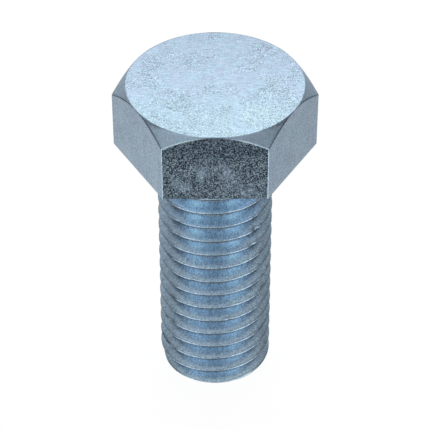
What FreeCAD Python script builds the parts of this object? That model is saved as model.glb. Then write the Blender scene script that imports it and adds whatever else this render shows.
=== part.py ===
import FreeCAD, Part
import math
import os

# Hex cap screw, 1/2-13 UNC by 1-1/4 in, threaded over its whole length, with a plain head top.
# One solid: hex head, raised washer face, short plain neck and rolled thread.
#
# Frame, in millimetres: the origin is the centre of the bearing face under the head, +Z runs
# along the axis towards the top of the head, and two of the six wrench flats face +Y and -Y.

# ---------------------------------------------------------------- head
ACROSS_FLATS = 19.05  # 3/4 in wrench size
HEAD_HEIGHT = 8.20  # bearing face to the top of the head
CORNER_FILLET_R = 0.18  # on the six upright edges
TOP_CIRCLE_D = 0.997 * ACROSS_FLATS  # flat circle inside the top chamfer
TOP_CHAMFER_DEG = 45.0  # slope below the top plane
WASHER_FACE_T = 0.16
WASHER_FACE_D = 18.10
CORNER_RADIUS = ACROSS_FLATS / math.sqrt(3.0)  # axis to a sharp corner

# ---------------------------------------------------------------- thread
THREADS_PER_INCH = 13
MAJOR_D = 12.66  # with plating allowance
PITCH_D = 11.38
CREST_FLAT = 0.125  # width of the crest flat, in pitches
ROOT_R = 0.28  # rounding of the root
FLANK_HALF_DEG = 30.0
CREST_Z = -2.60  # height of the first full crest where it crosses the -Y side

PITCH = 25.4 / THREADS_PER_INCH
CREST_R = MAJOR_D / 2.0
HALF_CREST = CREST_FLAT * PITCH / 2.0
GROOVE_HALF_W = PITCH * (1.0 - CREST_FLAT) / 2.0  # at the crest
GROOVE_MID = -PITCH / 2.0  # middle of the groove, from the crest above it
APEX_R = CREST_R - GROOVE_HALF_W / math.tan(math.radians(FLANK_HALF_DEG))  # sharp V's bottom
ROOT_CENTRE_R = APEX_R + ROOT_R / math.sin(math.radians(FLANK_HALF_DEG))
ROOT_HALF_ARC = math.radians(90.0 - FLANK_HALF_DEG)
ROOT_EDGE_R = ROOT_CENTRE_R - ROOT_R * math.cos(ROOT_HALF_ARC)  # where the root meets a flank
ROOT_EDGE_HALF_W = ROOT_R * math.sin(ROOT_HALF_ARC)

# Run-out: towards the head the groove grows shallow.
RUNOUT_FROM = 0.35  # turns past the -Y side
RUNOUT_TURNS = 0.85
RUNOUT_SHALLOW = 0.56  # share of the groove's depth lost at its end

# The rod runs past both ends of the shank, which are then trimmed.
ROD_TOP_TURN = 3
ROD_TIP_TURN = -15
STEPS_PER_TURN = 24

# ---------------------------------------------------------------- shank
LENGTH = 30.75  # bearing face to the tip
TIP_D = 10.90  # flat at the tip
TIP_CHAMFER_DEG = 45.0
NECK_R = PITCH_D / 2.0  # the rolling blank's radius
NECK_END_Z = -1.10
THREAD_START_DEG = 45.0  # slope of the cone where the crests begin
UNDERHEAD_FILLET_R = 0.80

# ---------------------------------------------------------------- overlaps and clearances
WASHER_OVERLAP = 0.5  # washer face into the head
SHANK_TOP_Z = WASHER_FACE_T + 0.4  # the shank reaches up into the head
HEAD_CLEARANCE = 1.0  # chamfer envelope beyond the corners and below the head
CREST_CLEARANCE = 0.25  # shank envelope beyond the crests

# Thread profile at turn 0: (radius, height from the crest's middle) of each helical rail.
RAILS = {
    "crest_top": (CREST_R, HALF_CREST),
    "crest_bottom": (CREST_R, -HALF_CREST),
    "root_top": (ROOT_EDGE_R, GROOVE_MID + ROOT_EDGE_HALF_W),
    "apex": (APEX_R, GROOVE_MID),
    "root_bottom": (ROOT_EDGE_R, GROOVE_MID - ROOT_EDGE_HALF_W),
    "axis": (0.0, HALF_CREST),
}
LINE_WEIGHTS = [1, 1]
ROOT_WEIGHTS = [1, math.cos(ROOT_HALF_ARC), 1]  # make the conic a circular arc at full depth


def vec(x, y, z):
    return FreeCAD.Vector(x, y, z)


def revolve_wire(wire):
    """Full turn about Z of a closed wire in the XZ plane."""
    return Part.Face(wire).revolve(vec(0, 0, 0), vec(0, 0, 1), 360)


def revolve_profile(points):
    """Full turn about Z of the polygon through (radius, z) points."""
    return revolve_wire(Part.makePolygon([vec(r, 0, z) for r, z in points + points[:1]]))


def cone_length(outer_r, inner_r, slope_deg):
    """Axial length of a cone between two radii, its slope measured from the axis."""
    return (outer_r - inner_r) / math.tan(math.radians(slope_deg))


# ---------------------------------------------------------------- head
def make_head():
    corners = []
    for i in range(7):
        angle = math.radians(60.0 * i)  # corners on +X and -X
        corners.append(
            vec(CORNER_RADIUS * math.cos(angle), CORNER_RADIUS * math.sin(angle), WASHER_FACE_T)
        )
    height = HEAD_HEIGHT - WASHER_FACE_T
    prism = Part.Face(Part.makePolygon(corners)).extrude(vec(0, 0, height))
    upright = [
        edge
        for edge in prism.Edges
        if abs(edge.Vertexes[0].Point.z - edge.Vertexes[1].Point.z) > 1.0
    ]
    prism = prism.makeFillet(CORNER_FILLET_R, upright)

    # The chamfer leaves a full circle flat on top and an arc on each wrench flat.
    top_r = TOP_CIRCLE_D / 2.0
    outer_r = CORNER_RADIUS + HEAD_CLEARANCE
    drop = (outer_r - top_r) * math.tan(math.radians(TOP_CHAMFER_DEG))
    envelope = revolve_profile(
        [
            (0, WASHER_FACE_T - HEAD_CLEARANCE),
            (outer_r, WASHER_FACE_T - HEAD_CLEARANCE),
            (outer_r, HEAD_HEIGHT - drop),
            (top_r, HEAD_HEIGHT),
            (0, HEAD_HEIGHT),
        ]
    )
    return prism.common(envelope)


def make_washer_face():
    """Raised round face under the head, overlapping the head for a clean union."""
    r = WASHER_FACE_D / 2.0
    top = WASHER_FACE_T + WASHER_OVERLAP
    return revolve_profile([(0, 0), (r, 0), (r, top), (0, top)])


# ---------------------------------------------------------------- shank
def make_envelope():
    """Neck, thread start cone and chamfered tip, clear of the crests in between."""
    outer_r = CREST_R + CREST_CLEARANCE
    tip_r = TIP_D / 2.0
    return revolve_profile(
        [
            (0, SHANK_TOP_Z),
            (NECK_R, SHANK_TOP_Z),
            (NECK_R, NECK_END_Z),
            (outer_r, NECK_END_Z - cone_length(outer_r, NECK_R, THREAD_START_DEG)),
            (outer_r, -LENGTH + cone_length(outer_r, tip_r, TIP_CHAMFER_DEG)),
            (tip_r, -LENGTH),
            (0, -LENGTH),
        ]
    )


def make_collar():
    """Concave fillet under the head, from the bearing face down to the plain neck."""
    fillet = UNDERHEAD_FILLET_R
    outer_r = NECK_R + fillet
    diagonal = math.radians(45)
    arc_start = vec(outer_r, 0, 0)
    arc_mid = vec(outer_r - fillet * math.cos(diagonal), 0, -fillet + fillet * math.sin(diagonal))
    arc_end = vec(NECK_R, 0, -fillet)
    axis_top = vec(0, 0, SHANK_TOP_Z)
    axis_bottom = vec(0, 0, -fillet)
    outer_top = vec(outer_r, 0, SHANK_TOP_Z)
    edges = [
        Part.makeLine(axis_top, outer_top),
        Part.makeLine(outer_top, arc_start),
        Part.Arc(arc_start, arc_mid, arc_end).toShape(),
        Part.makeLine(arc_end, axis_bottom),
        Part.makeLine(axis_bottom, axis_top),
    ]
    return revolve_wire(Part.Wire(edges))


# ---------------------------------------------------------------- threaded rod
def smooth(x):
    """Smooth step from 0 to 1."""
    x = min(1.0, max(0.0, x))
    return x * x * (3.0 - 2.0 * x)


def thread_point(turn, r, dz):
    """Point on the right-hand helix, turn 0 on the -Y side.

    Seen from the head it climbs anticlockwise. In the run-out the groove's depth shrinks
    while the crests keep their radius; points on the axis stay there.
    """
    shallow = RUNOUT_SHALLOW * smooth((turn - RUNOUT_FROM) / RUNOUT_TURNS)
    if r > 0:
        r = CREST_R - (CREST_R - r) * (1.0 - shallow)
    angle = 2.0 * math.pi * turn
    return vec(r * math.sin(angle), -r * math.cos(angle), CREST_Z + PITCH * turn + dz)


def make_rails():
    """Each rail as one curve with turns as its parameter.

    The rails start a turn early, for the crest below the first groove.
    """
    first = ROD_TIP_TURN - 1
    count = (ROD_TOP_TURN - first) * STEPS_PER_TURN
    turns = [first + i / STEPS_PER_TURN for i in range(count + 1)]
    curves = {}
    for name, point in RAILS.items():
        curve = Part.BSplineCurve()
        curve.interpolate(Points=[thread_point(t, *point) for t in turns], Parameters=turns)
        curves[name] = curve
    return curves


def strip(curves, weights):
    """Helical band swept by a line (two curves) or by a conic arc.

    An arc takes three curves, the middle one where its end tangents meet.
    """
    across = len(curves) - 1
    columns = [curve.getPoles() for curve in curves]
    rows = len(columns[0])
    surface = Part.BSplineSurface()
    surface.buildFromPolesMultsKnots(
        [[column[i] for column in columns] for i in range(rows)],
        curves[0].getMultiplicities(),
        [across + 1, across + 1],
        curves[0].getKnots(),
        [0.0, 1.0],
        False,
        False,
        curves[0].Degree,
        across,
        [list(weights) for _ in range(rows)],
    )
    return surface.toShape()


def conic_edge(start, control, end, weights):
    curve = Part.BSplineCurve()
    curve.buildFromPolesMultsKnots(
        [start, control, end], [3, 3], [0.0, 1.0], False, 2, weights
    )
    return curve.toShape()


def make_wall(turn):
    """Flat radial wall one pitch high, from the axis out to the thread profile."""
    at = {name: thread_point(turn, *point) for name, point in RAILS.items()}
    if turn == ROD_TIP_TURN:
        root_mid = thread_point(turn, ROOT_CENTRE_R - ROOT_R, GROOVE_MID)
        root = Part.Arc(at["root_bottom"], root_mid, at["root_top"]).toShape()
    else:
        # The shallowed root is no longer a circular arc.
        root = conic_edge(at["root_bottom"], at["apex"], at["root_top"], ROOT_WEIGHTS)
    below = vec(0, 0, -PITCH)
    edges = [
        Part.makeLine(at["axis"] + below, at["crest_top"] + below),
        Part.makeLine(at["crest_top"] + below, at["root_bottom"]),
        root,
        Part.makeLine(at["root_top"], at["crest_bottom"]),
        Part.makeLine(at["crest_bottom"], at["crest_top"]),
        Part.makeLine(at["crest_top"], at["axis"]),
        Part.makeLine(at["axis"], at["axis"] + below),
    ]
    return Part.Face(Part.Wire(edges))


def make_rod():
    """Turns of crest, flank, root and flank, closed by a ramp and a flat wall at each end."""
    rails = make_rails()

    def piece(name, turn):
        """One turn of a rail, from turn to turn + 1."""
        curve = rails[name].copy()
        curve.segment(float(turn), float(turn + 1))
        return curve

    faces = []
    for turn in range(ROD_TIP_TURN, ROD_TOP_TURN):
        crest_top = piece("crest_top", turn)
        crest_bottom = piece("crest_bottom", turn)
        root_top = piece("root_top", turn)
        root_bottom = piece("root_bottom", turn)
        next_crest = piece("crest_top", turn - 1)  # the crest below this groove
        faces.append(strip([crest_top, crest_bottom], LINE_WEIGHTS))
        faces.append(strip([crest_bottom, root_top], LINE_WEIGHTS))
        faces.append(strip([root_top, piece("apex", turn), root_bottom], ROOT_WEIGHTS))
        faces.append(strip([root_bottom, next_crest], LINE_WEIGHTS))
    for turn in (ROD_TIP_TURN, ROD_TOP_TURN):
        ramp = [piece("axis", turn - 1), piece("crest_top", turn - 1)]
        faces.append(strip(ramp, LINE_WEIGHTS))
        faces.append(make_wall(turn))
    shell = Part.makeShell(faces)
    shell.sewShape()
    solid = Part.makeSolid(shell)
    if not solid.isValid():
        raise RuntimeError("the threaded rod's solid is not valid")
    if solid.Volume < 0:  # sewing may leave the faces pointing inwards
        solid.reverse()
    return solid


# ---------------------------------------------------------------- whole bolt
def make_bolt():
    shank = make_envelope().common(make_rod()).fuse(make_collar())
    body = make_head().fuse(make_washer_face()).fuse(shank)
    solids = body.removeSplitter().Solids
    if len(solids) != 1:
        raise RuntimeError("the bolt must be one solid, not %d" % len(solids))
    bolt = solids[0]
    if not bolt.isValid():
        raise RuntimeError("the bolt's solid is not valid")
    return bolt


os.makedirs("parts", exist_ok=True)
make_bolt().exportStep("parts/hex_bolt.step")
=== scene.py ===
"""A zinc-plated hexagon-head bolt, upright on a pale studio floor.

The bolt's axis is Z, with the head's top towards +Z and the origin at the centre of the bearing
face. Two flats face -Y (the camera's side) and +Y. Sizes are in millimetres until the meshes
are made. Azimuth 0 is the -Y side and grows towards +X.
"""
import math

import bmesh
import bpy
import numpy as np
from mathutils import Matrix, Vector, noise


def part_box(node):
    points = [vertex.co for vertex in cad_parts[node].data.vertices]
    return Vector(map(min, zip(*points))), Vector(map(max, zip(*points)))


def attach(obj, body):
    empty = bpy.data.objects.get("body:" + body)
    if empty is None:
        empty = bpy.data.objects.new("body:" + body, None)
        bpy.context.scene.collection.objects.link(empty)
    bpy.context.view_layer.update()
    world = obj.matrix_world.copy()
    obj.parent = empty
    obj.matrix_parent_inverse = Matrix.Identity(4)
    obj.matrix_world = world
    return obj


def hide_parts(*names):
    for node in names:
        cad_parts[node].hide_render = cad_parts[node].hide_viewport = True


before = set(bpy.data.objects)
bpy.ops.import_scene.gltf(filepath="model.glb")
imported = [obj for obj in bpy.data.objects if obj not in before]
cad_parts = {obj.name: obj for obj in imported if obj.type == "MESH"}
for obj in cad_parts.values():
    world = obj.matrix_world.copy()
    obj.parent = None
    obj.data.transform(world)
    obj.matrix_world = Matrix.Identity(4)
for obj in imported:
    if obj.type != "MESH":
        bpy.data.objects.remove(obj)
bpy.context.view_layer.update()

# ------------------------------------------------------------------ driving sizes
low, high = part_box("hex_bolt")
HEAD_TOP = high.z * 1000.0
TIP_Z = low.z * 1000.0
APOTHEM = high.y * 1000.0  # from the axis to a flat
TOP_R = 0.997 * APOTHEM  # where the 45 degree chamfer cone meets the top
CORNER_ROUND = 0.18
WASHER_T = 0.16  # the round washer face under the head
WASHER_R = 9.05
NECK_R = 5.69
FILLET = 0.80  # between the bearing face and the neck
FILLET_STEPS = 7
NECK_START_Z, NECK_Z = -0.88, -0.94

PITCH = 25.4 / 13.0
CREST_R = 6.33
CREST_Z = -2.60  # the reference crest's height at azimuth 0
HALF_CREST_FLAT = 0.125 * PITCH / 2.0
CREST_ROUND_UP, CREST_ROUND_LOW = 0.15, 0.08
ROOT_ROUND = 0.28
RUN_FROM, RUN_TURNS, RUN_SHALLOW = 0.35, 0.85, 0.56  # run-out: start, length, loss of depth
START_Z = -1.10  # the cone that uncovers the crests starts here
NECK_BLEND = (-1.0, -1.35)  # heights over which the neck becomes thread
TIP_R = 5.45
END_Z = TIP_Z + 0.07  # the thread's last ring
TOP_TURNS, BOTTOM_TURNS = 2, -15  # turns of thread rows, from the reference crest
COS30, TAN30, SIN30 = math.cos(math.radians(30)), math.tan(math.radians(30)), 0.5


def smoothstep(start, end, x):
    t = np.clip((x - start) / (end - start), 0.0, 1.0)
    return t * t * (3.0 - 2.0 * t)


def smooth_max(a, b, width):
    h = np.maximum(width - np.abs(a - b), 0.0) / width
    return np.maximum(a, b) + h * h * width * 0.25


def smooth_min(a, b, width):
    return -smooth_max(-a, -b, width)


def smooth_noise(points, scale, seed):
    """Two octaves of noise at each point, the same every run."""
    offset = Vector((seed * 13.7, seed * 7.3, seed * 3.1))
    values = []
    for point in points:
        place = Vector(point) * scale + offset
        values.append(noise.noise(place) + 0.5 * noise.noise(place * 2.03))
    return np.array(values)


def add_object(name, data):
    item = bpy.data.objects.new(name, data)
    bpy.context.scene.collection.objects.link(item)
    return item


# ------------------------------------------------------------------ columns round the axis
CORNER_CENTRE = (APOTHEM - CORNER_ROUND) / COS30  # from the axis to a corner rounding's centre
CORNER_SPAN = math.degrees(
    math.atan2(CORNER_ROUND * SIN30, CORNER_CENTRE + CORNER_ROUND * COS30)
)


def column_azimuths():
    """Azimuths in radians, closest together at the corners; the first is a back corner."""
    from_corner = [CORNER_SPAN * t for t in (0.0, 0.36, 0.7, 1.0, 1.6)] + [2.6, 4.3]
    from_corner += list(np.linspace(6.2, 30.0, 11))
    half = sorted(30.0 - a for a in from_corner)  # 0 at a flat's middle, 30 at the corner
    sector = [-a for a in half[:0:-1]] + half[:-1]
    return np.radians(np.array([k * 60.0 + a for k in range(6) for a in sector]) - 180.0)


def hex_radius(phi):
    """Radius of the rounded hexagon at each azimuth."""
    from_flat = np.degrees(phi) % 60.0
    from_flat = np.where(from_flat > 30.0, 60.0 - from_flat, from_flat)
    from_corner = np.radians(30.0 - from_flat)
    flat = APOTHEM / np.cos(np.radians(from_flat))
    arc = CORNER_CENTRE * np.cos(from_corner) + np.sqrt(
        np.maximum(CORNER_ROUND**2 - (CORNER_CENTRE * np.sin(from_corner)) ** 2, 0.0)
    )
    return np.where(np.degrees(from_corner) < CORNER_SPAN, arc, flat)


PHI = column_azimuths()
COLUMNS = len(PHI)
PHI_WRAP = np.append(PHI, PHI[0] + 2 * math.pi)  # with the first column again at the end
HEX_R = hex_radius(PHI)
# radial direction against the flat's normal
NORMAL_COS = np.cos(np.radians(np.abs(((np.degrees(PHI) + 30.0) % 60.0) - 30.0)))

verts, faces = [], []


def about_axis(r, phi, z):
    return np.c_[r * np.sin(phi), -r * np.cos(phi), z]


def add_ring(r, z):
    """One ring of vertices; r and z are numbers or one value for each column."""
    first = len(verts)
    verts.extend(about_axis(r, PHI, np.broadcast_to(z, PHI.shape)))
    return first


def add_centre(z):
    verts.append((0.0, 0.0, z))
    return len(verts) - 1


def bridge(rings):
    for a, b in zip(rings, rings[1:]):
        for j in range(COLUMNS):
            k = (j + 1) % COLUMNS
            faces.append((a + j, b + j, b + k, a + k))


# ------------------------------------------------------------------ head
CHAMFER_REACH = HEX_R - TOP_R  # how far out and down the chamfer runs, at each column
# widths over which neighbouring surfaces soften into each other
TOP_SOFT, BOTTOM_SOFT = 0.045, 0.05
EDGE_SOFT = np.clip(0.035 + 0.12 * CHAMFER_REACH, 0.035, 0.10)

TOP_RADII = (0.7, 1.6, 2.6, 3.6, 4.6, 5.5, 6.3, 7.0, 7.6, 8.1, 8.5, 8.8, 9.05, 9.2)
BEARING_RADII = (8.7, 8.2, 7.7, 7.2, 6.8, 6.62, NECK_R + FILLET + 0.02)
# a rounded edge of the washer face: along one side of it, along the other
WASHER_EDGE = ((0.05, 0.0), (0.022, 0.006), (0.006, 0.022), (0.0, 0.05))
SIDE_MARGIN = 0.2  # closely ringed part at each end of the flats
UNDER_MARGIN = 0.18  # closely ringed part under the head's outline


def head_skin(r, z):
    """Signed distance, roughly, from the softened outline of the head."""
    top = z - HEAD_TOP
    cone = (r - TOP_R + z - HEAD_TOP) / math.sqrt(2.0)
    side = (r - HEX_R) * NORMAL_COS
    upper = smooth_max(smooth_max(top, cone, TOP_SOFT), side, EDGE_SOFT)
    return smooth_max(upper, WASHER_T - z, BOTTOM_SOFT)


def add_soft_ring(r, z):
    """A ring moved from the sharp outline onto the softened one."""
    r, z = np.full(COLUMNS, r), np.full(COLUMNS, z)
    nudge = 1e-4
    for _ in range(12):
        gap = head_skin(r, z)
        slope_r = (head_skin(r + nudge, z) - gap) / nudge
        slope_z = (head_skin(r, z + nudge) - gap) / nudge
        steepness = np.maximum(slope_r * slope_r + slope_z * slope_z, 1e-9)
        r -= gap * slope_r / steepness
        z -= gap * slope_z / steepness
    return add_ring(r, z)


def chamfer_steps():
    """Distances out along the chamfer, closest together at its two edges."""
    edge = np.minimum(0.02, CHAMFER_REACH * 0.2)
    near = np.minimum(0.06, CHAMFER_REACH * 0.35)
    steps = [edge, near]
    steps += [near + (CHAMFER_REACH - 2 * near) * t for t in (0.17, 0.34, 0.5, 0.66, 0.83, 1.0)]
    return steps + [CHAMFER_REACH - edge, CHAMFER_REACH]


def build_head():
    """The head from the top's centre to the neck; returns the neck's first ring."""
    centre = add_centre(HEAD_TOP)
    rings = [add_ring(r, HEAD_TOP) for r in TOP_RADII]
    for j in range(COLUMNS):
        faces.append((centre, rings[0] + j, rings[0] + (j + 1) % COLUMNS))
    # rim of the top and chamfer
    rings += [add_soft_ring(TOP_R + d, HEAD_TOP) for d in (-0.16, -0.08, -0.04, -0.015, 0.0)]
    rings += [add_soft_ring(TOP_R + step, HEAD_TOP - step) for step in chamfer_steps()]
    # flats
    arc_z = HEAD_TOP - CHAMFER_REACH
    rings += [add_soft_ring(HEX_R, arc_z - d) for d in (0.035, 0.09, SIDE_MARGIN)]
    for t in np.linspace(0.0, 1.0, 13)[1:-1]:
        z = (arc_z - SIDE_MARGIN) * (1 - t) + (WASHER_T + SIDE_MARGIN) * t
        rings.append(add_soft_ring(HEX_R, z))
    rings += [add_soft_ring(HEX_R, WASHER_T + d) for d in (SIDE_MARGIN, 0.08, 0.03, 0.0)]
    # underside, washer face and bearing face
    rings += [add_soft_ring(HEX_R - d, WASHER_T) for d in (0.03, 0.08, UNDER_MARGIN)]
    for t in (0.5, 0.85):
        r = (HEX_R - UNDER_MARGIN) * (1 - t) + (WASHER_R + 0.10) * t
        rings.append(add_ring(r, WASHER_T))
    rings += [add_ring(WASHER_R + a, WASHER_T - b) for a, b in WASHER_EDGE]
    rings += [add_ring(WASHER_R - b, a) for a, b in WASHER_EDGE]
    rings += [add_ring(r, 0.0) for r in BEARING_RADII]
    # fillet into the neck
    for k in range(1, FILLET_STEPS + 1):
        a = math.radians(90.0 * k / FILLET_STEPS)
        r = NECK_R + FILLET - FILLET * math.sin(a)
        rings.append(add_ring(r, -FILLET + FILLET * math.cos(a)))
    rings.append(add_ring(NECK_R, NECK_START_Z))
    bridge(rings)
    return rings[-1]


# ------------------------------------------------------------------ thread
# Grid rows follow the helix, so that crests, flanks and root are each a clean band.
SHARP_ROOT_R = CREST_R - (PITCH / 2 - HALF_CREST_FLAT) / TAN30
ROOT_CENTRE_R = SHARP_ROOT_R + ROOT_ROUND / SIN30
FLANK_END_R = ROOT_CENTRE_R - ROOT_ROUND * SIN30
FLANK_END_DROP = PITCH / 2 - ROOT_ROUND * COS30


def half_profile(corner):
    """(radius, distance from the crest's middle), from the crest to the bottom of the root."""
    flat = HALF_CREST_FLAT - corner * TAN30
    points = [(CREST_R, 0.0), (CREST_R, flat * 0.85)]
    for k in range(4):
        a = math.radians(60.0 * k / 3.0)
        points.append((CREST_R - corner + corner * math.cos(a), flat + corner * math.sin(a)))
    r, drop = points[-1]
    for t in (0.25, 0.5, 0.75):
        points.append((r + (FLANK_END_R - r) * t, drop + (FLANK_END_DROP - drop) * t))
    for k in range(4):
        a = math.radians(60.0 * (1 - k / 3.0))
        r = ROOT_CENTRE_R - ROOT_ROUND * math.cos(a)
        points.append((r, PITCH / 2 - ROOT_ROUND * math.sin(a)))
    return points


profile = [(r, -drop) for r, drop in half_profile(CREST_ROUND_LOW)]
profile += [(r, -(PITCH - drop)) for r, drop in half_profile(CREST_ROUND_UP)[-2:0:-1]]
PROFILE_R, PROFILE_Z = np.array(profile).T
TURN_ROWS = len(profile)
ROWS = (TOP_TURNS - BOTTOM_TURNS) * TURN_ROWS + 1
CRESTNESS = smoothstep(CREST_R - 0.22, CREST_R, PROFILE_R)

# dents in the crests: azimuth in degrees, turns down, width, depth
CREST_DENTS = (
    (44.5, 3, 0.30, 0.17), (39.4, 4, 0.42, 0.11), (-38.0, 2, 0.28, 0.08),
    (-21.0, 6, 0.35, 0.07), (14.0, 9, 0.30, 0.08), (-52.0, 10, 0.45, 0.12),
    (61.0, 8, 0.40, 0.12), (118.0, 5, 0.50, 0.13), (-140.0, 7, 0.40, 0.14),
    (-97.0, 12, 0.45, 0.12),
)


def run_out(turn):
    """Share of the depth that is missing near the top of the thread."""
    return RUN_SHALLOW * smoothstep(RUN_FROM, RUN_FROM + RUN_TURNS, turn)


def wear_crest(r, z, crestness, turn_number):
    """Small nicks and flats along the helix, as rolled crests are never quite even."""
    helix = PITCH * PHI_WRAP / (2 * math.pi)
    along = about_axis(CREST_R, PHI_WRAP, turn_number * PITCH * 3.7 + helix)
    worn = np.clip(smooth_noise(along, 1.15, seed=2.0) - 0.05, 0.0, 1.0)
    nick = smoothstep(0.52, 0.80, smooth_noise(along, 0.55, seed=5.0))
    r = r - crestness * (0.045 * worn + 0.075 * nick)
    return r, z + crestness * 0.022 * smooth_noise(along, 0.9, seed=9.0)


def thread_row(row):
    """Radius and height of each column in one row of the thread."""
    cycle, k = divmod(row, TURN_ROWS)
    turn = PHI_WRAP / (2 * math.pi) + TOP_TURNS - cycle  # whose crest this row hangs from
    z = CREST_Z + PITCH * turn + PROFILE_Z[k]
    # the run-out changes smoothly to that of the next crest down
    share = -PROFILE_Z[k] / PITCH
    shallow = run_out(turn) * (1 - share) + run_out(turn - 1.0) * share
    r = CREST_R - (CREST_R - PROFILE_R[k]) * (1 - shallow)
    r = r + 0.012 * smooth_noise(about_axis(r, PHI_WRAP, z), 0.16, seed=1.0)
    if CRESTNESS[k] > 0.01:
        r, z = wear_crest(r, z, CRESTNESS[k], TOP_TURNS - cycle)
    for azimuth, turns_down, width, depth in CREST_DENTS:
        if abs(row - (turns_down + TOP_TURNS) * TURN_ROWS) <= TURN_ROWS // 2:
            away = (PHI_WRAP - math.radians(azimuth)) * CREST_R / width
            hit = CRESTNESS[k] * np.exp(-(away**2))
            r = r - depth * hit
            z = z - 0.35 * depth * hit
    return r, z


def trim_ends(r, z):
    """Cuts the crests back with a cone below the neck and a chamfer at the tip."""
    start_cone = np.maximum(NECK_R + (START_Z - z), NECK_R)
    envelope = smooth_min(start_cone, TIP_R + (z - TIP_Z), 0.10)
    r = smooth_min(r, envelope, 0.03)
    blended = NECK_R + (np.maximum(r, NECK_R) - NECK_R) * smoothstep(*NECK_BLEND, z)
    return np.where(z > NECK_BLEND[1], blended, r)


def build_thread():
    """The thread's grid, closed on a ring at each end; returns the radii of its last ring."""
    rows = [thread_row(i) for i in range(ROWS)]
    r = np.array([row[0] for row in rows])
    z = np.array([row[1] for row in rows])
    # the two sides of the seam are one line of points, one turn apart
    for grid in (r, z):
        grid[TURN_ROWS:, -1] = grid[:-TURN_ROWS, 0]
    r = trim_ends(r, z)

    above = z > NECK_Z
    z = np.where(above, NECK_Z, z)
    r = np.where(above, NECK_R, r)
    end_r = np.empty(COLUMNS + 1)
    for j in range(COLUMNS + 1):
        order = np.argsort(z[:, j])
        end_r[j] = np.interp(END_Z, z[order, j], r[order, j])
    below = z < END_Z
    z = np.where(below, END_Z, z)
    r = np.where(below, end_r[None, :], r)

    base = len(verts)
    for row_r, row_z in zip(r, z):
        verts.extend(about_axis(row_r, PHI_WRAP, row_z))
    width = COLUMNS + 1
    for i in range(ROWS - 1):
        for j in range(COLUMNS):
            if above[i + 1, j : j + 2].all() or below[i, j : j + 2].all():
                continue
            a = base + i * width + j
            faces.append((a, a + width, a + width + 1, a + 1))
    return end_r[:COLUMNS]


def build_tip(end_r):
    rings = [add_ring(end_r, END_Z)]
    for inset, height in ((0.018, 0.026), (0.06, 0.004), (0.12, 0.0)):
        rings.append(add_ring(end_r - inset, TIP_Z + height))
    rings += [add_ring(r, TIP_Z) for r in (4.6, 3.9, 3.0, 2.0, 1.0)]
    bridge(rings)
    centre = add_centre(TIP_Z)
    for j in range(COLUMNS):
        faces.append((centre, rings[-1] + (j + 1) % COLUMNS, rings[-1] + j))


def roughen_head(points):
    """Forged unevenness: a wavy top that sinks at its rim, and sides pushed slightly in."""
    index = np.nonzero(points[:, 2] > WASHER_T - 0.02)[0]
    head = points[index]
    radius = np.hypot(head[:, 0], head[:, 1])
    broad = smooth_noise(head, 0.13, seed=3.0)
    medium = smooth_noise(head, 0.42, seed=4.0)
    on_top = smoothstep(HEAD_TOP - 0.3, HEAD_TOP - 0.02, head[:, 2])
    head[:, 2] += on_top * (0.012 * broad + 0.004 * medium - 0.020 * (radius / TOP_R) ** 4)
    push = 0.0016 * (0.5 - 0.5 * broad) + 0.0004 * medium
    head[:, :2] *= (1.0 - push * smoothstep(6.0, 8.5, radius))[:, None]
    points[index] = head


def build_bolt():
    head_end = build_head()
    end_r = build_thread()
    bridge([head_end, add_ring(NECK_R, NECK_Z)])
    build_tip(end_r)
    points = np.array(verts)
    roughen_head(points)

    mesh = bpy.data.meshes.new("zinc_plated_bolt")
    mesh.from_pydata([tuple(p / 1000.0) for p in points], [], faces)
    bm = bmesh.new()
    bm.from_mesh(mesh)
    bmesh.ops.remove_doubles(bm, verts=bm.verts, dist=1.5e-6)
    bmesh.ops.dissolve_degenerate(bm, edges=bm.edges, dist=5e-7)
    loose = [v for v in bm.verts if not v.link_faces]
    bmesh.ops.delete(bm, geom=loose, context="VERTS")
    bmesh.ops.recalc_face_normals(bm, faces=bm.faces)
    for face in bm.faces:
        face.smooth = True
    bm.to_mesh(mesh)
    bm.free()
    mesh.update()
    return add_object("zinc_plated_bolt", mesh)


bolt = build_bolt()


# ------------------------------------------------------------------ shader arithmetic
class Graph:
    """The node tree of a material or world, emptied and ready to build."""

    def __init__(self, owner):
        owner.use_nodes = True
        self.tree = owner.node_tree
        self.tree.nodes.clear()

    def node(self, kind, inputs=None, output=0, **settings):
        """Adds a node, fills its inputs and returns one of its outputs."""
        node = self.tree.nodes.new(kind)
        for name, value in settings.items():
            setattr(node, name, value)
        for key, value in (inputs or {}).items():
            if isinstance(value, Value):
                self.tree.links.new(value.socket, node.inputs[key])
            else:
                node.inputs[key].default_value = value
        return Value(self, node.outputs[output]) if node.outputs else None

    def math(self, operation, *terms):
        return self.node("ShaderNodeMath", dict(enumerate(terms)), operation=operation)


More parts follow.
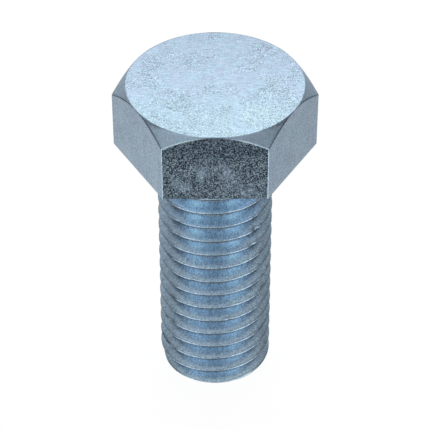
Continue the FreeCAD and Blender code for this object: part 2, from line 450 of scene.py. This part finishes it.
class Value:
    """A node's output. Arithmetic on it adds math nodes."""

    def __init__(self, graph, socket):
        self.graph = graph
        self.socket = socket

    def __add__(self, other):
        return self.graph.math("ADD", self, other)

    def __radd__(self, other):
        return self.graph.math("ADD", other, self)

    def __sub__(self, other):
        return self.graph.math("SUBTRACT", self, other)

    def __rsub__(self, other):
        return self.graph.math("SUBTRACT", other, self)

    def __mul__(self, other):
        return self.graph.math("MULTIPLY", self, other)

    def __truediv__(self, other):
        return self.graph.math("DIVIDE", self, other)

    def __abs__(self):
        return self.graph.math("ABSOLUTE", self)

    def ramp(self, start, end, low=0.0, high=1.0):
        """Smooth change from low at start to high at end."""
        inputs = {
            "Value": self, "From Min": start, "From Max": end, "To Min": low, "To Max": high
        }
        return self.graph.node("ShaderNodeMapRange", inputs, interpolation_type="SMOOTHSTEP")

    def bell(self, middle, width):
        """1 at the middle, falling smoothly to 0 about twice the width away."""
        t = (self - middle) / width
        return self.graph.math("EXPONENT", t * t * -1.0)

    def swing(self, amount):
        """A 0..1 pattern as a change up and down by half the amount."""
        return (self - 0.5) * amount

    def dimmed(self, mask, by):
        """Darker by a share where the mask is 1."""
        return self * (1.0 - mask * by)

    def mix(self, off, on):
        """Numbers: off where this mask is 0, on where it is 1."""
        return self.graph.node("ShaderNodeMix", {0: self, 2: off, 3: on}, data_type="FLOAT")

    def mix_colour(self, off, on):
        inputs = {0: self, 6: off, 7: on}
        return self.graph.node("ShaderNodeMix", inputs, output=2, data_type="RGBA")

    def vector(self, operation, other, key=1, output=0):
        """Vector math, with the second term in the input called key."""
        inputs = {0: self, key: other}
        return self.graph.node("ShaderNodeVectorMath", inputs, output, operation=operation)

    def split(self, kind="XYZ"):
        first = self.graph.node("ShaderNodeSeparate" + kind, {0: self})
        return [Value(self.graph, socket) for socket in first.socket.node.outputs]

    def noise(self, scale, detail=2.0, roughness=0.5, distortion=0.0, w=None):
        inputs = {
            "Vector": self, "Scale": scale, "Detail": detail,
            "Roughness": roughness, "Distortion": distortion,
        }
        if w is not None:
            inputs["W"] = w
        dimensions = "3D" if w is None else "4D"
        return self.graph.node("ShaderNodeTexNoise", inputs, noise_dimensions=dimensions)

    def cells(self, scale):
        """Voronoi cells: distance from the cell's centre, and a random number for each cell."""
        inputs = {"Vector": self, "Scale": scale}
        distance = self.graph.node("ShaderNodeTexVoronoi", inputs, "Distance", feature="F1")
        colour = Value(self.graph, distance.socket.node.outputs["Color"])
        return distance, colour.split("Color")[0]


def total(values):
    return sum(values[1:], values[0])


# ------------------------------------------------------------------ zinc-plated steel: places
zinc = bpy.data.materials.new("zinc_plated_steel")
graph = Graph(zinc)
place = graph.node("ShaderNodeTexCoord", output="Object").vector("MULTIPLY", (1000.0,) * 3)
x, y, z = place.split()
_, normal_y, normal_z = graph.node("ShaderNodeNewGeometry", output="Normal").split()
radius = graph.math("SQRT", x * x + y * y)
around = graph.math("ARCTAN2", x, y * -1.0)  # azimuth in radians
toward_front = y * -1.0

on_head = z.ramp(start=WASHER_T - 0.06, end=WASHER_T)
on_top = normal_z.ramp(start=0.86, end=0.97) * z.ramp(start=HEAD_TOP - 0.5, end=HEAD_TOP - 0.2)
on_chamfer = normal_z.ramp(start=0.30, end=0.55) * normal_z.ramp(start=0.93, end=0.85) * on_head
on_side = abs(normal_z).ramp(start=0.35, end=0.15) * on_head
on_thread = radius.ramp(start=6.55, end=6.45) * z.ramp(start=-0.7, end=-1.0)

# the arcs where the chamfer meets the flats; the side arcs get painted shade and the front arcs a
# painted highlight
from_flats = abs(y)
hex_distance = graph.math(
    "MAXIMUM",
    from_flats,
    graph.math("MAXIMUM", abs(x * COS30 + y * SIN30), abs(x * COS30 - y * SIN30)),
)
cone_distance = ((radius - TOP_R) + (z - HEAD_TOP)) * 0.7071
arc_edge = cone_distance.ramp(start=-0.085, end=-0.035) * hex_distance.ramp(
    start=APOTHEM - 0.085, end=APOTHEM - 0.035
)
side_arc_shade = (
    arc_edge
    * abs(normal_y).ramp(start=0.80, end=0.62)
    * (radius - TOP_R).ramp(start=0.06, end=0.22)
    * (radius - TOP_R).ramp(start=0.50, end=1.30, low=1.0, high=0.55)
)
front_arc_highlight = (
    arc_edge
    * abs(normal_y).ramp(start=0.62, end=0.80)
    * (radius - TOP_R).ramp(start=0.10, end=0.35)
)
# the flat facing -Y and, more weakly, the one facing +Y; both get painted shade with painted
# glints
on_front = on_side * (
    normal_y.ramp(start=-0.90, end=-0.97) + normal_y.ramp(start=0.90, end=0.97, high=0.45)
)
on_front = on_front * (1.0 - arc_edge)

# ------------------------------------------------------------------ patterns in the plating
blotch = place.noise(scale=0.42, detail=3.0, roughness=0.55)
mottle = place.noise(scale=1.5, detail=3.0, roughness=0.6, distortion=0.3)
grain = place.noise(scale=2.9, detail=4.0, roughness=0.78)
fine = place.noise(scale=5.4, detail=3.0, roughness=0.8)
dust = place.noise(scale=6.6, detail=1.0, roughness=0.7)
cloudy = place.noise(scale=0.75, detail=4.0, roughness=0.6, distortion=0.2, w=7.0)
area = place.noise(scale=0.33, w=1.7)
busy = (area + toward_front * 0.014).ramp(start=0.40, end=0.60, low=0.18)
stretched = place.vector("MULTIPLY", (0.40, 3.4, 1.0))
streaks = stretched.noise(scale=1.7, detail=4.0, roughness=0.7, distortion=0.15)
# combing along the shank
comb_place = graph.node(
    "ShaderNodeCombineXYZ", {0: around * 6.0, 1: z * 0.25, 2: radius * 0.35}
)
comb = comb_place.noise(scale=2.6, detail=4.0, roughness=0.7)
dent_distance, dent_pick = place.vector("MULTIPLY", (1.0, 1.5, 1.0)).cells(scale=1.15)
dent = dent_distance.ramp(start=0.20, end=0.03) * dent_pick.ramp(start=0.52, end=0.60)

# ------------------------------------------------------------------ brightness, 1 is clean plating; painted shade and painted highlights are in it too
# top of the head, with winding lines of painted shade and painted highlight side by side
stretched = place.vector("MULTIPLY", (0.85, 1.45, 1.0))
worm_field = stretched.noise(scale=2.5, detail=1.5, distortion=0.8)
painted_worm_shade = abs(worm_field - 0.455).ramp(start=0.050, end=0.012)
painted_worm_highlight = abs(worm_field - 0.545).ramp(start=0.050, end=0.012)
top_detail = grain.swing(0.5) + fine.swing(1.6) + dust.swing(1.6)
# painted shade: a darker band along the back of the top's rim
back_rim_shade = radius.ramp(start=TOP_R - 0.20, end=TOP_R - 0.05) * y.ramp(start=1.0, end=5.0)
lum_top = (
    0.840
    # painted sheen: brighter towards the front
    + toward_front * 0.0125
    + (top_detail + 0.05) * busy
    + streaks.swing(0.60)
    + mottle.swing(0.22)
    + cloudy.swing(busy) * 0.42
    # painted shade in the dents
    - dent * 0.26
    # painted highlight: a bright patch at the front right of the top
    + x.bell(middle=4.3, width=1.8) * y.bell(middle=-5.4, width=1.7) * 0.13
    # painted shade and painted highlight: winding lines side by side, as small relief lit from
    # one side shows
    + (painted_worm_highlight * 0.20 - painted_worm_shade * 0.20) * busy.ramp(start=0.35, end=0.85)
).dimmed(back_rim_shade, by=0.22)

lum_side = (
    1.015
    + mottle.swing(0.45)
    + blotch.swing(0.35)
    + grain.swing(0.30)
    + fine.swing(0.9)
    + dust.swing(1.5)
)

# chamfer, with painted shade at the front where the chamfer is thin
thin_chamfer_shade = (
    (radius - TOP_R).ramp(start=0.45, end=0.05)
    * abs(normal_y).ramp(start=0.58, end=0.50)
    * y.ramp(start=-4.2, end=-5.2)
    * grain.ramp(start=0.40, end=0.60, low=1.35, high=0.55)
)
lum_chamfer = (1.0 + grain.swing(0.6) + fine.swing(1.0)).dimmed(thin_chamfer_shade, by=0.40)

# front and back flats: soft patches, as x, z, reach in x, reach in z, strength
STAINS = (
    (-1.2, 3.7, 0.8, 1.5, 0.38), (1.2, 3.4, 0.9, 1.3, 0.60), (-3.5, 2.0, 1.1, 1.0, 0.50),
    (2.9, 1.2, 1.7, 1.0, 0.52), (4.6, 0.8, 0.9, 0.7, 0.30), (-4.0, 6.2, 0.8, 0.7, 0.20),
    (-1.0, 0.8, 1.3, 0.6, -0.55), (-4.7, 4.8, 0.9, 1.0, -0.50), (-2.9, 5.8, 0.7, 1.0, -0.45),
    (3.2, 5.0, 1.3, 1.1, -0.60), (4.9, 3.6, 0.7, 0.9, -0.40), (0.3, 7.2, 3.4, 1.1, -0.70),
)
# the patches' outlines wander, as stains do
wander = place.noise(scale=1.3, detail=3.0, roughness=0.6, distortion=0.3, w=11.0)
wander_x = x + mottle.swing(3.2)
wander_z = z + wander.swing(3.2)
patches = total([
    wander_x.bell(stain_x, reach_x) * wander_z.bell(stain_z, reach_z) * strength
    for stain_x, stain_z, reach_x, reach_z, strength in STAINS
])
grey = (cloudy.swing(2.8) + patches * 1.55).ramp(start=-0.42, end=1.05)
glint_speckle = (fine * 0.6 + grain * 0.4).ramp(start=0.47, end=0.60)
_, flake_pick = place.cells(scale=7.6)
specks = place.noise(scale=8.4, detail=1.0, roughness=0.7, w=5.0)
glint_flecks = specks.ramp(start=0.530, end=0.590) * 0.72 + flake_pick.ramp(start=0.64, end=0.90) * 0.46
# painted shade: the front flat, and more weakly the back one, is far darker than the other flats,
# with painted glints in small spots, and darker towards the top
lum_front = (
    0.0 + grey * grey * 0.44 + glint_speckle * 0.15 + glint_flecks * (1.0 - grey * 0.20) * 1.24
) * z.ramp(start=4.6, end=6.6, low=1.0, high=0.76)

# thread: painted reflections as brighter bands down the front, and brighter towards the tip
front_reflection_bands = around.bell(middle=-0.43, width=0.16) + around.bell(middle=0.36, width=0.16)
front_reflection_bands = front_reflection_bands * (z.ramp(start=-17.0, end=-7.0) * radius.ramp(start=6.2, end=5.7))
lower_reflection_band = around.bell(middle=0.42, width=0.22) * z.ramp(start=-7.0, end=-12.0)
glow = (
    front_reflection_bands * 0.19
    + lower_reflection_band * 0.09
    + z.ramp(start=TIP_Z + 1.9, end=TIP_Z + 1.0, high=0.12)
)
# painted shade in the root at the sides, dirt with painted shade at the root's bottom, and
# painted shade along each crest's lower edge
root_side_shade = radius.ramp(start=5.72, end=5.36) * abs(around).ramp(start=0.60, end=1.05)
root_dirt_and_shade = on_thread * (radius + comb.swing(0.5)).ramp(start=5.38, end=5.16)
turns = (z - CREST_Z) / PITCH - around / (2.0 * math.pi)
from_crest = (turns - graph.math("ROUND", turns)) * PITCH
crest_underside_shade = (
    on_thread
    * radius.ramp(start=CREST_R - 0.20, end=CREST_R - 0.12)
    * from_crest.ramp(start=-0.005, end=-0.045)
)
# glow holds the painted reflections on the thread
lum_thread = (
    0.945 + glow + comb.swing(0.65) + grain.swing(0.5) + fine.swing(1.5) + dust.swing(1.1)
)
# painted shade in the root's sides and under each crest, dirt with painted shade at the root's
# bottom
lum_thread = lum_thread.dimmed(root_side_shade, by=0.50).dimmed(root_dirt_and_shade, by=0.36).dimmed(crest_underside_shade, by=0.88)

# where the chamfer all but vanishes, painted shade darkens the sharp edge
sliver_shade = (
    from_flats.ramp(start=APOTHEM - 0.17, end=APOTHEM - 0.09)
    * z.ramp(start=HEAD_TOP - 0.22, end=HEAD_TOP - 0.12)
    * abs(x).ramp(start=1.7, end=0.6)
)
lum = on_chamfer.mix(lum_side, lum_chamfer)
lum = on_front.mix(lum, lum_front)
lum = on_top.mix(lum, lum_top)
lum = on_thread.mix(lum, lum_thread)
# painted shade on the side arcs and the vanishing chamfer edge, a painted highlight on the front
# arcs
lum = lum.dimmed(side_arc_shade, by=0.62).dimmed(sliver_shade, by=0.55) * (1.0 + front_arc_highlight * 0.30)
lum = graph.math("MAXIMUM", lum, 0.045)

# ------------------------------------------------------------------ colour, gloss and relief
TINT_BLUE = (0.531, 0.672, 0.858, 1.0)
TINT_GREEN = (0.510, 0.695, 0.855, 1.0)
TINT_COOL = (0.515, 0.709, 0.858, 1.0)
TINT_THREAD = (0.506, 0.688, 0.876, 1.0)
# tint of the painted shade along each crest's lower edge
TINT_CREST_SHADE = (0.430, 0.690, 0.990, 1.0)
# tint of the painted shade on the front flat
TINT_FRONT_SHADE = (0.455, 0.695, 0.910, 1.0)
hue = place.noise(scale=0.9, detail=3.0, roughness=0.6, w=3.0).ramp(start=0.40, end=0.62)
cool = on_top * (y + cloudy.swing(14.0)).ramp(start=1.0, end=-6.0, high=0.85)
front_shade_mask = on_front * lum_front.ramp(start=0.75, end=0.10)
tint = hue.mix_colour(TINT_BLUE, TINT_GREEN)
for mask, colour in (
    (cool, TINT_COOL),
    (on_thread, TINT_THREAD),
    (crest_underside_shade, TINT_CREST_SHADE),
    (front_shade_mask, TINT_FRONT_SHADE),
):
    tint = mask.mix_colour(tint, colour)
base_colour = tint.vector("SCALE", lum, key="Scale").vector("MINIMUM", (0.97,) * 3)

crest_edge = on_thread * radius.ramp(start=CREST_R - 0.13, end=CREST_R - 0.06)
roughness = 0.30 + mottle.swing(0.15)
for mask, level in (
    (on_top, 0.30 + grain.swing(0.3)),
    (on_front, 0.28),
    (on_thread, 0.27 + comb.swing(0.20)),
    (crest_edge, 0.15),
):
    roughness = mask.mix(roughness, level)

relief = (  # millimetres
    mottle.swing(0.010)
    + grain.swing(0.004)
    + on_top * (streaks.swing(0.08) + grain.swing(busy) * 0.08 - dent * 0.020)
    + on_front * (fine.swing(0.045) + grain.swing(0.05))
    + on_chamfer * grain.swing(0.03)
    + on_thread * (comb.swing(0.045) + grain.swing(0.02))
)
bump = graph.node("ShaderNodeBump", {"Strength": 1.0, "Distance": 0.001, "Height": relief})
steel = graph.node("ShaderNodeBsdfPrincipled", {
    "Base Color": base_colour,
    "Metallic": 1.0,
    "Roughness": graph.math("MAXIMUM", roughness, 0.13),
    "Normal": bump,
})
graph.node("ShaderNodeOutputMaterial", {0: steel})
bolt.data.materials.append(zinc)

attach(bolt, "root")
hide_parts("hex_bolt")

# ------------------------------------------------------------------ floor, in metres
FLOOR_SIZE, FLOOR_STEPS = 0.6, 24
FLOOR_Z = TIP_Z / 1000.0 - 0.00002


def floor_material():
    """Pale and glowing from above, clear from below."""
    material = bpy.data.materials.new("pale_floor")
    graph = Graph(material)
    white = {"Color": (1.0, 1.0, 1.0, 1.0), "Strength": 0.95}
    glow = graph.node("ShaderNodeEmission", white)
    matt = graph.node("ShaderNodeBsdfDiffuse", {"Color": (0.09, 0.09, 0.09, 1.0)})
    pale = graph.node("ShaderNodeAddShader", {0: glow, 1: matt})
    from_below = graph.node("ShaderNodeNewGeometry", output="Backfacing")
    clear = graph.node("ShaderNodeBsdfTransparent")
    surface = graph.node("ShaderNodeMixShader", {0: from_below, 1: pale, 2: clear})
    graph.node("ShaderNodeOutputMaterial", {0: surface})
    return material


def build_floor():
    lines = [FLOOR_SIZE * (i / FLOOR_STEPS - 0.5) for i in range(FLOOR_STEPS + 1)]
    width = FLOOR_STEPS + 1
    corners = [i * width + j for i in range(FLOOR_STEPS) for j in range(FLOOR_STEPS)]
    mesh = bpy.data.meshes.new("studio_floor")
    mesh.from_pydata(
        [(x, y, FLOOR_Z) for x in lines for y in lines],
        [],
        [(a, a + width, a + width + 1, a + 1) for a in corners],
    )
    floor = add_object("studio_floor", mesh)
    mesh.materials.append(floor_material())
    floor.visible_glossy = False
    floor.visible_diffuse = False
    return floor


build_floor()

# ------------------------------------------------------------------ soft studio light
# Brightness seen in each direction round the object; between them it changes smoothly.
# +X is the camera's right, -Y is towards the camera, +Z is up.
# Columns: x, y, z, then the brightness at -x and at +x, or one value where x is 0.
SURROUNDINGS = (
    (0.0, 0.766, 0.643, (1.60,)),  # large soft light above and behind
    (0.0, 0.95, 0.31, (1.66,)),
    (0.0, 0.45, 0.89, (0.95,)),
    (0.0, -0.05, 1.0, (0.82,)),
    (0.45, 0.0, 0.89, (0.69, 0.70)),
    (0.0, -0.60, 0.80, (0.38,)),
    (0.47, -0.51, 0.72, (0.44, 0.21)),
    (0.653, -0.364, 0.663, (0.52, 0.33)),
    (0.64, 0.40, 0.66, (0.40, 0.36)),
    (0.78, -0.18, 0.60, (0.60, 0.42)),
    (0.88, 0.06, 0.46, (0.10, 0.08)),
    (0.88, 0.30, 0.36, (0.29, 0.15)),
    (1.0, 0.05, 0.14, (0.30, 0.30)),
    (0.643, 0.766, 0.0, (0.45, 0.41)),
    (0.0, 1.0, 0.0, (0.80,)),
    (0.96, 0.18, -0.20, (0.02, 0.02)),
    (0.95, -0.27, 0.12, (0.08, 0.08)),
    (0.62, 0.42, -0.66, (0.56, 0.48)),
    (0.0, 0.75, -0.66, (0.22,)),
    (0.0, -0.766, -0.643, (0.27,)),  # dark space in front, below the camera
    (0.30, -0.71, -0.64, (0.44, 0.40)),
    (0.0, -0.95, -0.30, (0.26,)),
    (0.0, -0.98, 0.20, (0.38,)),
    (0.34, -0.93, 0.10, (0.95, 0.95)),
    (0.72, -0.66, -0.15, (1.00, 1.05)),  # strip lights to the left and right of the camera
    (0.70, -0.58, 0.42, (0.50, 0.45)),
    (0.64, -0.42, -0.64, (1.20, 1.25)),
    (0.48, 0.05, -0.88, (1.10, 1.05)),
    (0.0, -0.25, -0.97, (0.45,)),
    (0.0, 0.30, -0.95, (0.75,)),
)
SHARPNESS = 30.0  # how closely each brightness keeps to its own direction
BACKDROP = 1.03  # what the camera sees directly


def build_world():
    world = bpy.data.worlds.new("studio")
    bpy.context.scene.world = world
    graph = Graph(world)
    direction = graph.node("ShaderNodeTexCoord", output="Generated")
    weights, levels = [], []
    for x, y, z, pair in SURROUNDINGS:
        for side_x, level in zip((-x, x) if x else (x,), pair):
            toward = tuple(Vector((side_x, y, z)).normalized())
            dot = direction.vector("DOT_PRODUCT", toward, output="Value")
            falloff = graph.math("MULTIPLY_ADD", dot, SHARPNESS, -SHARPNESS)
            weight = graph.math("EXPONENT", falloff)
            weights.append(weight)
            levels.append(weight * level)
    seen_directly = graph.node("ShaderNodeLightPath", output="Is Camera Ray")
    strength = seen_directly.mix(total(levels) / total(weights), BACKDROP)
    inputs = {"Color": (1.0, 1.0, 1.0, 1.0), "Strength": strength}
    graph.node("ShaderNodeOutputWorld", {0: graph.node("ShaderNodeBackground", inputs)})


build_world()

# ------------------------------------------------------------------ camera
ELEVATION = math.radians(39.7655)
DISTANCE = 0.21449  # metres
TARGET = Vector((0.0, 0.0, (HEAD_TOP - 18.109) / 1000.0))

camera_data = bpy.data.cameras.new("camera")
camera_data.sensor_width = 36.0
camera_data.lens = 161.13684
camera_data.shift_x = -0.00032791
camera_data.clip_start = 0.01
camera_data.clip_end = 5.0
camera = add_object("camera", camera_data)
camera.location = TARGET + Vector((0.0, -math.cos(ELEVATION), math.sin(ELEVATION))) * DISTANCE
camera.rotation_euler = (math.pi / 2 - ELEVATION, 0.0, 0.0)

scene = bpy.context.scene
scene.camera = camera
scene.view_settings.view_transform = "Standard"
scene.view_settings.look = "None"
